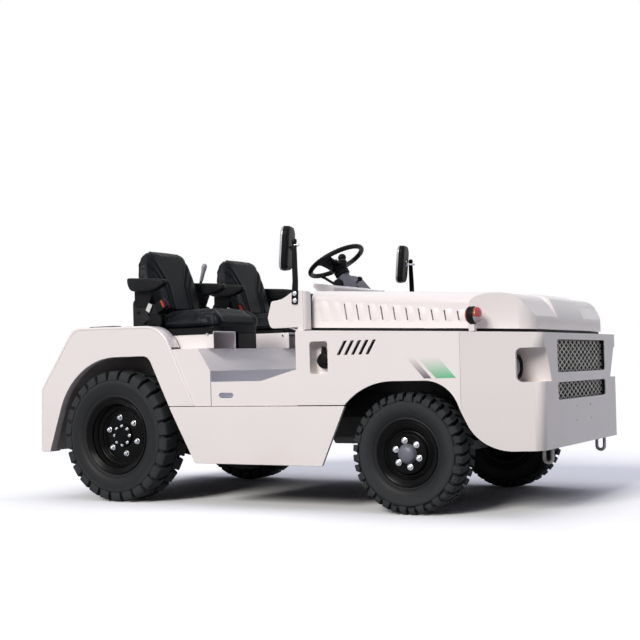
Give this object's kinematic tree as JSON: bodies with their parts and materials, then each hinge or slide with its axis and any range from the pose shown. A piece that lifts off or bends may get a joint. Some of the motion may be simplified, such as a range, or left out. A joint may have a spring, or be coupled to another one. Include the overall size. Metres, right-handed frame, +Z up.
{
  "type": "airport tow tractor",
  "caption": "Open two-seat airport tow tractor with white steel body, hinged louvred hood, steered front wheels, lugged tyres and rear pin hitch.",
  "frame": {"origin": "on the ground under the middle of the overall box", "axes": "+X forward, +Y to the vehicle's left, +Z up"},
  "size_m": [2.86, 1.44, 1.3533],
  "materials": {
    "white_paint": "gloss",
    "frame_paint": "satin",
    "zinc_steel": "satin",
    "floor_paint": "matte",
    "engine_iron": "matte",
    "radiator_alloy": "matte",
    "rubber": "matte",
    "black_plastic": "satin",
    "seat_vinyl": "satin",
    "seat_steel": "satin",
    "lamp_red": "gloss",
    "lamp_clear": "gloss",
    "rim_paint": "satin"
  },
  "bodies": {
    "chassis": {"side_skirts": "white_paint", "rear_fenders": "white_paint", "rear_body": "white_paint", "seat_box": "white_paint", "seat_stands": "white_paint", "step_panels": "white_paint", "cowl_panels": "white_paint", "front_shell": "white_paint", "wing_plates": "white_paint", "dash": "white_paint", "lamp_brackets": "white_paint", "frame": "frame_paint", "tow_hitch": "frame_paint", "front_axle": "frame_paint", "rear_axle": "frame_paint", "leaf_springs": "frame_paint", "hitch_pin": "zinc_steel", "tow_loops": "zinc_steel", "grille_mesh": "zinc_steel", "floor_pan": "floor_paint", "powertrain": "engine_iron", "radiator": "radiator_alloy", "hood_seal": "rubber", "steering_column": "black_plastic", "armrests": "black_plastic", "hand_lever": "black_plastic", "mirrors": "black_plastic", "fuel_cap": "black_plastic", "pedals": "black_plastic", "seat_cushions": "seat_vinyl", "seat_backs": "seat_vinyl", "seat_frames": "seat_steel", "turn_lamps": "lamp_red", "tail_lamps": "lamp_red", "headlamps": "lamp_clear"},
    "hood": {"hood": "white_paint"},
    "steering_wheel": {"steering_wheel": "black_plastic"},
    "steer_right": {"knuckle_right": "frame_paint"},
    "steer_left": {"knuckle_left": "frame_paint"},
    "wheel_front_right": {"rim_front_right": "rim_paint", "tyre_front_right": "rubber"},
    "wheel_front_left": {"rim_front_left": "rim_paint", "tyre_front_left": "rubber"},
    "wheel_rear_right": {"rim_rear_right": "rim_paint", "tyre_rear_right": "rubber"},
    "wheel_rear_left": {"rim_rear_left": "rim_paint", "tyre_rear_left": "rubber"}
  },
  "joints": [
    {"name": "steer_right", "type": "hinge", "parent": "chassis", "child": "steer_right", "pos_m": [0.83, -0.4705, 0.27327], "axis": [0, 0, 1], "range_deg": [-34, 34]},
    {"name": "steer_left", "type": "hinge", "parent": "chassis", "child": "steer_left", "pos_m": [0.83, 0.4705, 0.27327], "axis": [0, 0, 1], "range_deg": [-34, 34]},
    {"name": "steering_wheel", "type": "hinge", "parent": "chassis", "child": "steering_wheel", "pos_m": [-0.075, 0.36, 1.258], "axis": [-0.4695, 0, 0.8829], "range_deg": [-680, 680]},
    {"name": "hood_hinge", "type": "hinge", "parent": "chassis", "child": "hood", "pos_m": [0.345, 0, 1], "axis": [0, -1, 0], "range_deg": [0, 55]},
    {"name": "wheel_front_right", "type": "hinge", "parent": "steer_right", "child": "wheel_front_right", "pos_m": [0.83, -0.6085, 0.27327], "axis": [0, 1, 0], "continuous": true},
    {"name": "wheel_front_left", "type": "hinge", "parent": "steer_left", "child": "wheel_front_left", "pos_m": [0.83, 0.6085, 0.27327], "axis": [0, 1, 0], "continuous": true},
    {"name": "wheel_rear_right", "type": "hinge", "parent": "chassis", "child": "wheel_rear_right", "pos_m": [-0.82, -0.609, 0.33858], "axis": [0, 1, 0], "continuous": true},
    {"name": "wheel_rear_left", "type": "hinge", "parent": "chassis", "child": "wheel_rear_left", "pos_m": [-0.82, 0.609, 0.33858], "axis": [0, 1, 0], "continuous": true}
  ],
  "couplings": [
    {"joint": "steer_right", "follows": "steering_wheel", "ratio": 0.05},
    {"joint": "steer_left", "follows": "steering_wheel", "ratio": 0.05}
  ]
}
